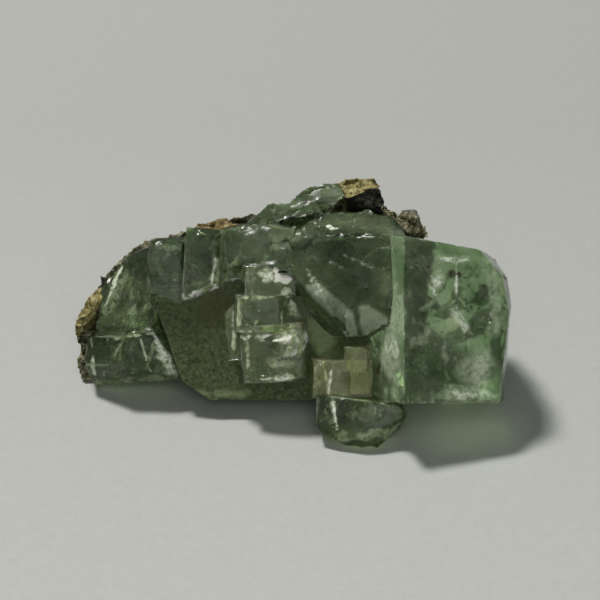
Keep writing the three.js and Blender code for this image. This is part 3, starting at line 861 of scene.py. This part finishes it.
# Marks on the crystal side by piece: how far right and up in millimetres, how wide and high, how many
# degrees turned and how strong
MARKS = {
    # veil: cloudy veils and cracks, and also painted glints, bright rims and reflections, and a painted
    # glow on the dull face
    "veil_and_painted_light": {
        "large_block_crystal": [
            (19.6, 2.6, 2.4, 3.0, 20, 1.0),
            (22.2, 2.2, 0.5, 5.2, 0, 0.9),
            (21.5, 5.8, 6.4, 1.2, -4, 0.8),
            (26.6, 4.8, 4.0, 2.0, -30, 0.5),
            (22.8, -2.8, 1.7, 6.6, 40, 0.8),
            (24.5, -9.5, 6.0, 8.0, 0, 0.55),
            (24.0, -13.2, 8.5, 2.2, 0, 0.8),
            (27.4, 1.5, 2.0, 10.0, 8, 0.7),
            (18.4, -0.6, 6.0, 0.7, 30, 0.5),
            (20.6, -8.2, 0.8, 6.0, 4, 0.5),
            (13.0, -9.5, 3.6, 9.0, 0, 0.75),
            (13.4, -3.0, 2.4, 8.0, -3, 0.8),
            (17.6, -5.0, 4.0, 1.6, 32, 0.45),
        ],
        "massive_fluorite": [
            (12.2, 3.0, 1.4, 11.0, -8, 0.45),
            (1.6, 2.6, 0.3, 4.0, 22, 0.8),
            (2.5, 1.8, 0.3, 3.6, 26, 0.8),
            (3.3, 1.2, 0.25, 3.0, 18, 0.7),
            (-4.5, 3.6, 6.2, 2.6, 8, 0.5),
            (-9.8, 4.5, 1.0, 5.0, -18, 0.5),
            (-16.6, 0.8, 6.0, 1.0, 18, 0.8),
            (7.0, 11.4, 9.0, 1.4, 0, 0.5),
            (4.0, 8.8, 8.0, 0.5, 6, 0.5),
            (12.6, 6.8, 0.6, 5.0, -30, 0.5),
        ],
        "dull_crystal": [
            (3.2, -5.4, 6.0, 4.6, -30, 1.0),
            (5.0, -8.5, 5.0, 3.0, 0, 0.4),
            (-11.5, -13.6, 14.0, 1.6, 0, 0.6),
        ],
        "foot_crystal": [
            (4.6, -15.6, 0.45, 5.5, 14, 1.0),
            (9.0, -19.6, 9.0, 1.6, 4, 0.6),
        ],
        "honey_cube": [(3.8, -11.6, 0.5, 5.0, 8, 0.7)],
        "cube_lower": [
            (-4.0, -5.4, 7.0, 1.1, 4, 1.0),
            (-3.0, -11.2, 6.4, 1.1, 2, 0.8),
            (-7.6, -8.4, 0.7, 6.0, 0, 0.8),
            (-2.2, -9.0, 3.6, 3.0, 0, 0.7),
        ],
        "cube_upper": [
            (-4.6, -4.4, 7.6, 1.1, 4, 1.0),
            (-8.8, -1.8, 0.7, 4.6, 0, 0.8),
            (-5.0, 0.4, 7.0, 0.6, 2, 0.8),
            (-1.2, -1.0, 1.6, 3.6, 30, 0.7),
        ],
        "cube_top": [(-4.6, 3.6, 6.4, 2.2, -6, 1.0), (-2.0, 1.6, 1.2, 3.0, -30, 0.7)],
        "cube_left": [(-9.6, -5.0, 0.6, 7.0, 0, 0.9)],
        "cube_shell": [(-0.6, -6.9, 5.0, 1.4, 38, 1.0), (-1.4, -5.6, 5.6, 3.4, -10, 0.8)],
        "left_crystal": [
            (-24.5, -12.0, 12.0, 1.6, 2, 0.5),
            (-21.4, -7.0, 0.6, 7.0, -20, 0.6),
            (-26.2, -6.4, 0.5, 5.0, -30, 0.5),
            (-18.8, -10.0, 2.0, 2.6, 0, 0.5),
        ],
        "shoulder_crystal": [
            (-27.6, 1.0, 2.4, 7.0, -28, 0.3),
            (-23.8, -1.6, 4.0, 2.0, 20, 0.4),
        ],
        "step_crystal": [(-19.2, 7.6, 4.6, 0.8, 0, 0.5)],
        "deep_step_crystal": [(-13.6, 1.0, 5.6, 0.9, 20, 0.8), (-11.8, 4.6, 0.7, 6.0, -6, 0.6)],
    },
    # frost: frosted white patches and cracks, and also painted glints, bright rims and highlights
    "frost_and_glint": {
        "large_block_crystal": [
            (19.6, 2.7, 2.2, 2.6, 20, 1.0),
            (19.0, 1.2, 0.6, 2.6, 30, 0.8),
            (22.2, 2.2, 0.3, 5.2, 0, 1.0),
            (21.4, 5.8, 5.6, 0.5, -4, 0.9),
            (22.8, -2.8, 1.0, 5.4, 40, 0.6),
            (24.2, -13.4, 7.0, 1.2, 0, 0.6),
            (25.4, -10.0, 4.0, 5.0, 0, 0.3),
            (13.0, -6.6, 1.6, 5.0, 14, 0.5),
        ],
        "massive_fluorite": [
            (6.4, -5.0, 3.0, 0.5, -25, 1.0),
            (8.0, -5.6, 2.0, 0.4, -28, 1.0),
            (10.6, -4.8, 3.4, 0.4, 42, 0.8),
            (1.6, 2.6, 0.3, 4.0, 22, 0.9),
            (2.6, 1.8, 0.3, 3.6, 26, 0.8),
            (4.3, 10.8, 1.4, 0.4, 0, 0.9),
            (10.0, 9.2, 1.6, 0.4, 10, 0.9),
            (-4.6, 3.6, 5.0, 0.8, 10, 0.6),
            (13.4, 1.6, 0.3, 8.0, -6, 0.6),
            (6.0, 4.6, 6.0, 0.2, -30, 0.4),
            (8.6, 5.4, 5.0, 0.2, -24, 0.4),
        ],
        "deep_step_crystal": [(-15.2, 0.8, 5.2, 1.3, 16, 1.0), (-12.4, 5.0, 0.4, 6.0, -10, 0.6)],
        "left_crystal": [
            (-19.4, -8.6, 1.6, 6.6, 24, 0.8),
            (-20.8, -6.0, 0.8, 4.0, 10, 0.7),
            (-22.8, -7.4, 0.3, 5.4, 16, 0.6),
            (-26.0, -5.4, 5.0, 0.5, 8, 0.6),
            (-30.6, -9.0, 0.5, 6.0, 4, 0.5),
        ],
        "shoulder_crystal": [(-28.2, 1.0, 0.5, 8.0, -22, 0.6)],
        "cube_top": [(-4.6, 3.6, 6.0, 1.6, -6, 0.9)],
        "cube_upper": [
            (-4.6, -4.5, 6.6, 0.5, 4, 0.9),
            (-0.9, -1.0, 0.5, 3.6, 26, 0.7),
            (-2.6, -2.6, 0.25, 3.4, 0, 0.5),
        ],
        "cube_lower": [(-4.2, -5.2, 6.6, 0.6, 4, 1.0), (-3.2, -11.4, 6.0, 0.5, 2, 0.8)],
        "cube_shell": [
            (-0.4, -7.6, 4.6, 0.6, 38, 1.0),
            (1.0, -5.2, 0.6, 3.0, 0, 1.0),
            (-1.8, -5.4, 4.4, 2.2, -14, 0.5),
        ],
        "honey_cube": [(4.3, -11.6, 0.4, 5.0, -6, 0.9)],
        "foot_crystal": [(4.9, -16.0, 0.45, 5.6, 10, 1.0)],
    },
    # deep: painted shade, darker and greener patches where the crystal looks dark
    "deep": {
        "large_block_crystal": [
            (13.6, 5.0, 4.0, 9.0, 0, 0.4),
            (23.4, 4.0, 16.0, 9.0, -6, 1.0),
            (25.0, -1.0, 9.0, 9.0, 0, 0.8),
            (18.2, -1.6, 9.0, 6.0, 10, 1.0),
            (18.0, -9.4, 7.0, 8.0, 0, 0.9),
            (21.4, -5.6, 4.0, 8.0, 0, 0.6),
            (27.8, -5.6, 4.4, 9.0, 0, 0.8),
        ],
        "massive_fluorite": [
            (5.0, 6.4, 15.0, 9.0, -10, 1.0),
            (9.0, 3.4, 6.4, 7.0, -20, 0.9),
            (1.0, 5.0, 3.0, 6.0, 0, 0.5),
            (-6.0, 8.4, 5.0, 3.0, 0, 0.5),
            (9.6, 12.0, 8.0, 2.4, 0, 0.8),
            (11.4, -4.3, 5.2, 0.7, 24, 1.0),
        ],
        "shoulder_crystal": [
            (-24.4, 4.2, 5.0, 8.0, -18, 1.0),
            (-27.6, -2.0, 4.0, 6.0, 0, 0.8),
            (-22.6, 0.4, 4.0, 5.0, 0, 0.6),
        ],
        "cube_upper": [(-5.4, -1.9, 6.5, 4.5, 0, 0.8)],
        "cube_lower": [(-5.4, -8.6, 3.0, 3.0, 0, 0.5)],
        "left_crystal": [
            (-28.6, -7.4, 7.0, 6.0, 0, 0.9),
            (-24.2, -7.6, 6.0, 7.0, 12, 0.9),
            (-20.8, -9.0, 4.0, 5.0, 0, 0.6),
        ],
        "step_crystal": [(-18.6, 4.0, 9.0, 14.0, 0, 1.0)],
        "deep_step_crystal": [(-14.2, 6.0, 6.0, 7.0, 0, 0.7)],
        "foot_crystal": [(8.0, -16.6, 9.0, 2.6, 0, 0.6)],
    },
    "stain": {
        "large_block_crystal": [
            (18.2, 4.8, 2.4, 1.6, 0, 1.0),
            (21.6, 3.7, 2.4, 1.3, 0, 1.0),
            (25.8, 1.6, 0.9, 2.0, 20, 0.7),
            (11.0, -10.6, 0.8, 3.6, -24, 0.8),
        ],
        "dull_crystal": [(-12.0, -1.2, 4.6, 4.0, 20, 0.7), (-14.6, -9.0, 3.6, 3.0, 0, 0.4)],
        "foot_crystal": [(10.0, -16.4, 4.0, 2.2, 0, 0.5)],
        "massive_fluorite": [(-10.0, 10.6, 6.0, 1.0, 4, 0.7), (9.0, 11.6, 8.0, 1.6, 4, 0.5)],
    },
}

# Which of a crystal's two materials is inside a crack
OPEN, CLOUDY = 0, 1

# Inner cracks of a crystal: how many, their radius and gap in millimetres, and their material
BIG_CRACKS = [(5, 3.6, 0.05, OPEN), (4, 2.4, 0.05, CLOUDY)]
MIDDLE_CRACKS = [(4, 2.2, 0.05, OPEN), (4, 1.4, 0.04, CLOUDY)]
SMALL_CRACKS = [(2, 1.2, 0.03, OPEN), (2, 0.8, 0.03, CLOUDY)]

# Wisps of a crystal: how many, their radius in millimetres and material
BIG_WISPS = [(16, 4.0, OPEN), (10, 2.4, CLOUDY)]
MIDDLE_WISPS = [(9, 2.4, OPEN), (8, 1.4, CLOUDY)]
SMALL_WISPS = [(4, 1.4, OPEN), (4, 0.9, CLOUDY)]

# A crystal's own material and that of its cloudy cracks
SEA, DEEP, MASSIVE, PALE, HONEY = (
    [material, VEIL] for material in (SEA_GREEN, DEEP_GREEN, MASSIVE_GREEN, PALE_GREEN, HONEY_GREEN)
)

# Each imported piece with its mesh's face size in millimetres, its carving, its materials, its edge
# wear in millimetres, its inner cracks and its wisps
PIECES = [
    ("large_block_crystal", 0.28, smooth_faces, SEA, 0.22, BIG_CRACKS, BIG_WISPS),
    ("dull_crystal", 0.28, pitted_faces, [DULL_GREEN], 0.3, (), ()),
    ("left_crystal", 0.2, smooth_faces, DEEP, 0.2, MIDDLE_CRACKS, MIDDLE_WISPS),
    ("step_crystal", 0.2, smooth_faces, DEEP, 0.2, SMALL_CRACKS, SMALL_WISPS),
    ("deep_step_crystal", 0.2, smooth_faces, DEEP, 0.2, SMALL_CRACKS, SMALL_WISPS),
    ("shoulder_crystal", 0.2, cleaved_faces, DEEP, 0.2, MIDDLE_CRACKS, MIDDLE_WISPS),
    ("foot_crystal", 0.2, smooth_faces, DEEP, 0.2, MIDDLE_CRACKS, MIDDLE_WISPS),
    ("honey_cube", 0.14, stepped_faces, HONEY, 0.15, SMALL_CRACKS, SMALL_WISPS),
    ("honey_cube_small", 0.1, stepped_faces, HONEY, 0.12, (), ()),
    ("honey_cube_side", 0.1, stepped_faces, HONEY, 0.12, (), ()),
    ("cube_shell", 0.12, cleaved_faces, PALE, 0.15, (), ()),
    ("cube_upper", 0.14, stepped_faces, PALE, 0.15, SMALL_CRACKS, SMALL_WISPS),
    ("cube_lower", 0.14, stepped_faces, PALE, 0.15, SMALL_CRACKS, SMALL_WISPS),
    ("cube_left", 0.12, stepped_faces, PALE, 0.15, (), ()),
    ("cube_top", 0.12, stepped_faces, PALE, 0.15, (), ()),
    ("massive_fluorite", 0.34, cleaved_faces, MASSIVE, 0.3, BIG_CRACKS, BIG_WISPS),
    ("dark_cap", 0.12, crumbly, [DARK_ROCK], 0.9, (), ()),
    ("tan_cap", 0.12, crumbly, [TAN_ROCK], 0.9, (), ()),
    ("sugary_rock", 0.12, crumbly, [OLIVE_ROCK], 0.9, (), ()),
    ("clear_shard", 0.08, smooth_faces, [CLEAR_CHIP], 0.1, (), ()),
    ("rust_crust", 0.14, crumbly, [RUST_ROCK], 0.9, (), ()),
    ("tan_crust", 0.14, crumbly, [TAN_ROCK], 0.9, (), ()),
    ("dark_grain", 0.06, pitted_faces, [DARK_ROCK], 0.1, (), ()),
    ("host_rock", 0.36, granular, [OLIVE_ROCK], 1.6, (), ()),
]
for piece in PIECES:
    make_piece(*piece)


# Floor, light and camera


def make_floor():
    """A plain pale sheet, with painted shade that makes it slightly darker toward the back."""
    bpy.ops.mesh.primitive_plane_add(size=FLOOR_SIZE, location=(0, 0, 0))
    floor = bpy.context.object
    floor.name = "floor"
    m = Nodes("floor_sheet")
    grain = m.noise(1.1, 4, 0.6)
    sheet = m.ramp(grain, [(0.3, (0.405, 0.415, 0.395)), (0.7, (0.43, 0.44, 0.42))])
    place = m.add("ShaderNodeSeparateXYZ")
    m.join(m.position, place.inputs[0])
    # Painted shade: the sheet darkens toward the back
    far = m.range(place.outputs["Y"], -40, 60, 0.0, 1.0)
    m.set("Base Color", m.mix(m.combine("MULTIPLY", far, 0.5), sheet, (0.31, 0.315, 0.30)))
    m.set("Roughness", 0.75)
    m.bump(grain, 0.35, 0.12)
    floor.data.materials.append(m.material)


def area_light(name, direction, distance, size, power, colour):
    """A round lamp of a size and power in watts, at a distance from the specimen, shining on it."""
    light = bpy.data.lights.new(name, "AREA")
    light.shape = "DISK"
    light.size = size
    light.energy = power
    light.color = colour
    lamp = bpy.data.objects.new(name, light)
    bpy.context.scene.collection.objects.link(lamp)
    lamp.location = direction.normalized() * distance
    lamp.rotation_euler = direction.to_track_quat("Z", "Y").to_euler()
    return lamp


def make_light():
    """A soft main light from behind with a small glint in it, a weak front light and a dim room."""
    key = area_light("key_light", KEY_DIRECTION, KEY_DISTANCE, 0.24, 15, KEY_COLOUR)
    key.visible_glossy = False
    area_light("glint_light", KEY_DIRECTION, KEY_DISTANCE, 0.06, 1.1, KEY_COLOUR)
    fill = area_light("fill_light", FILL_DIRECTION, 0.6, 0.4, 0.7, FILL_COLOUR)
    fill.visible_glossy = False
    world = bpy.data.worlds.new("room")
    world.use_nodes = True
    background = world.node_tree.nodes["Background"]
    background.inputs["Color"].default_value = (0.86, 0.9, 0.88, 1)
    background.inputs["Strength"].default_value = 0.13
    bpy.context.scene.world = world


def make_camera():
    """A camera that looks straight at the crystal side."""
    camera = bpy.data.cameras.new("camera")
    camera.sensor_width = SENSOR_WIDTH
    camera.lens = SENSOR_WIDTH * CAMERA_DISTANCE / VIEW_WIDTH
    eye = bpy.data.objects.new("camera", camera)
    bpy.context.scene.collection.objects.link(eye)
    back = Vector((0, -math.cos(LEAN), math.sin(LEAN)))
    eye.location = FACE_ORIGIN + back * CAMERA_DISTANCE
    eye.rotation_euler = back.to_track_quat("Z", "Y").to_euler()
    bpy.context.scene.camera = eye


make_floor()
make_light()
make_camera()
scene = bpy.context.scene
scene.view_settings.view_transform = "Standard"
scene.cycles.use_denoising = True
scene.cycles.max_bounces = LIGHT_BOUNCES
scene.cycles.transmission_bounces = LIGHT_BOUNCES
scene.cycles.sample_clamp_indirect = 0
